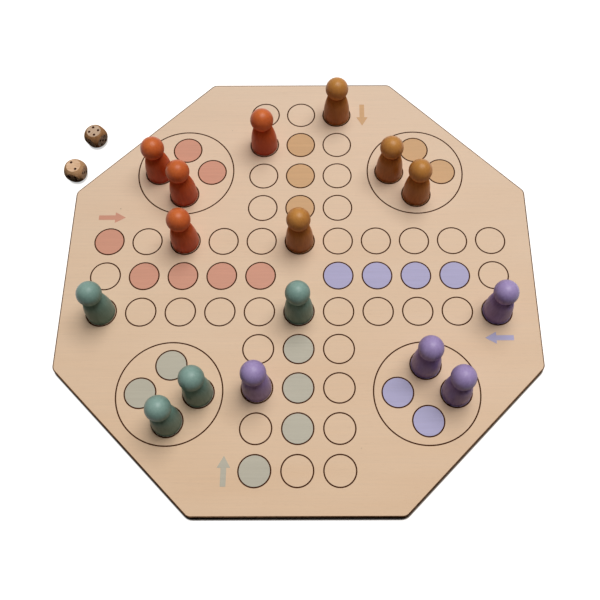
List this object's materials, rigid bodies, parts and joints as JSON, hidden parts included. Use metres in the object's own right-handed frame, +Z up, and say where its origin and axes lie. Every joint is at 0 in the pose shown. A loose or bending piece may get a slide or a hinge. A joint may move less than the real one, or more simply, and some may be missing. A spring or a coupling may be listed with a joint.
{
  "type": "ludo board",
  "caption": "Octagonal wooden ludo board with engraved ring cells and printed colour fields, ball-headed turned pawns that lift off, and rounded wooden dice.",
  "frame": {"origin": "middle of the board's underside, level with the table it lies on", "axes": "+Z up through the playing face, +X to the viewer's right and +Y away from the viewer, each square to a side of the board"},
  "size_m": [0.3935, 0.381, 0.0547],
  "materials": {
    "board_wood": "sanded pale plywood under a matt lacquer, with burnt cut edges and engraved lines",
    "die_wood": "natural beech turned to a ball, with burnt pips",
    "red_paint": "satin terracotta paint on turned wood",
    "ochre_paint": "satin ochre paint on turned wood",
    "purple_paint": "satin purple paint on turned wood",
    "green_paint": "satin grey green paint on turned wood",
    "red_ink": "thin printed ink, grain showing through",
    "ochre_ink": "thin printed ink, grain showing through",
    "purple_ink": "thin printed ink, grain showing through",
    "green_ink": "thin printed ink, grain showing through"
  },
  "bodies": {
    "board": {"board": "board_wood", "red_start_print": "red_ink", "red_path_print_1": "red_ink", "red_path_print_2": "red_ink", "red_path_print_3": "red_ink", "red_path_print_4": "red_ink", "red_base_print_north": "red_ink", "red_base_print_east": "red_ink", "red_base_print_south": "red_ink", "red_base_print_west": "red_ink", "red_arrow_print": "red_ink", "ochre_start_print": "ochre_ink", "ochre_path_print_1": "ochre_ink", "ochre_path_print_2": "ochre_ink", "ochre_path_print_3": "ochre_ink", "ochre_path_print_4": "ochre_ink", "ochre_base_print_north": "ochre_ink", "ochre_base_print_east": "ochre_ink", "ochre_base_print_south": "ochre_ink", "ochre_base_print_west": "ochre_ink", "ochre_arrow_print": "ochre_ink", "purple_start_print": "purple_ink", "purple_path_print_1": "purple_ink", "purple_path_print_2": "purple_ink", "purple_path_print_3": "purple_ink", "purple_path_print_4": "purple_ink", "purple_base_print_north": "purple_ink", "purple_base_print_east": "purple_ink", "purple_base_print_south": "purple_ink", "purple_base_print_west": "purple_ink", "purple_arrow_print": "purple_ink", "green_start_print": "green_ink", "green_path_print_1": "green_ink", "green_path_print_2": "green_ink", "green_path_print_3": "green_ink", "green_path_print_4": "green_ink", "green_base_print_north": "green_ink", "green_base_print_east": "green_ink", "green_base_print_south": "green_ink", "green_base_print_west": "green_ink", "green_arrow_print": "green_ink"},
    "red_pawn_1": {"red_pawn_1": "red_paint"},
    "red_pawn_2": {"red_pawn_2": "red_paint"},
    "red_pawn_3": {"red_pawn_3": "red_paint"},
    "red_pawn_4": {"red_pawn_4": "red_paint"},
    "ochre_pawn_1": {"ochre_pawn_1": "ochre_paint"},
    "ochre_pawn_2": {"ochre_pawn_2": "ochre_paint"},
    "ochre_pawn_3": {"ochre_pawn_3": "ochre_paint"},
    "ochre_pawn_4": {"ochre_pawn_4": "ochre_paint"},
    "purple_pawn_1": {"purple_pawn_1": "purple_paint"},
    "purple_pawn_2": {"purple_pawn_2": "purple_paint"},
    "purple_pawn_3": {"purple_pawn_3": "purple_paint"},
    "purple_pawn_4": {"purple_pawn_4": "purple_paint"},
    "green_pawn_1": {"green_pawn_1": "green_paint"},
    "green_pawn_2": {"green_pawn_2": "green_paint"},
    "green_pawn_3": {"green_pawn_3": "green_paint"},
    "green_pawn_4": {"green_pawn_4": "green_paint"},
    "die_1": {"die_1": "die_wood"},
    "die_2": {"die_2": "die_wood"}
  },
  "joints": [
    {"name": "red_pawn_1_lift", "type": "slide", "parent": "board", "child": "red_pawn_1", "axis": [0, 0, 1], "range_m": [0, 0.06]},
    {"name": "red_pawn_2_lift", "type": "slide", "parent": "board", "child": "red_pawn_2", "axis": [0, 0, 1], "range_m": [0, 0.06]},
    {"name": "red_pawn_3_lift", "type": "slide", "parent": "board", "child": "red_pawn_3", "axis": [0, 0, 1], "range_m": [0, 0.06]},
    {"name": "red_pawn_4_lift", "type": "slide", "parent": "board", "child": "red_pawn_4", "axis": [0, 0, 1], "range_m": [0, 0.06]},
    {"name": "ochre_pawn_1_lift", "type": "slide", "parent": "board", "child": "ochre_pawn_1", "axis": [0, 0, 1], "range_m": [0, 0.06]},
    {"name": "ochre_pawn_2_lift", "type": "slide", "parent": "board", "child": "ochre_pawn_2", "axis": [0, 0, 1], "range_m": [0, 0.06]},
    {"name": "ochre_pawn_3_lift", "type": "slide", "parent": "board", "child": "ochre_pawn_3", "axis": [0, 0, 1], "range_m": [0, 0.06]},
    {"name": "ochre_pawn_4_lift", "type": "slide", "parent": "board", "child": "ochre_pawn_4", "axis": [0, 0, 1], "range_m": [0, 0.06]},
    {"name": "purple_pawn_1_lift", "type": "slide", "parent": "board", "child": "purple_pawn_1", "axis": [0, 0, 1], "range_m": [0, 0.06]},
    {"name": "purple_pawn_2_lift", "type": "slide", "parent": "board", "child": "purple_pawn_2", "axis": [0, 0, 1], "range_m": [0, 0.06]},
    {"name": "purple_pawn_3_lift", "type": "slide", "parent": "board", "child": "purple_pawn_3", "axis": [0, 0, 1], "range_m": [0, 0.06]},
    {"name": "purple_pawn_4_lift", "type": "slide", "parent": "board", "child": "purple_pawn_4", "axis": [0, 0, 1], "range_m": [0, 0.06]},
    {"name": "green_pawn_1_lift", "type": "slide", "parent": "board", "child": "green_pawn_1", "axis": [0, 0, 1], "range_m": [0, 0.06]},
    {"name": "green_pawn_2_lift", "type": "slide", "parent": "board", "child": "green_pawn_2", "axis": [0, 0, 1], "range_m": [0, 0.06]},
    {"name": "green_pawn_3_lift", "type": "slide", "parent": "board", "child": "green_pawn_3", "axis": [0, 0, 1], "range_m": [0, 0.06]},
    {"name": "green_pawn_4_lift", "type": "slide", "parent": "board", "child": "green_pawn_4", "axis": [0, 0, 1], "range_m": [0, 0.06]},
    {"name": "die_1_lift", "type": "slide", "parent": "board", "child": "die_1", "axis": [0, 0, 1], "range_m": [0, 0.06]},
    {"name": "die_2_lift", "type": "slide", "parent": "board", "child": "die_2", "axis": [0, 0, 1], "range_m": [0, 0.06]}
  ]
}
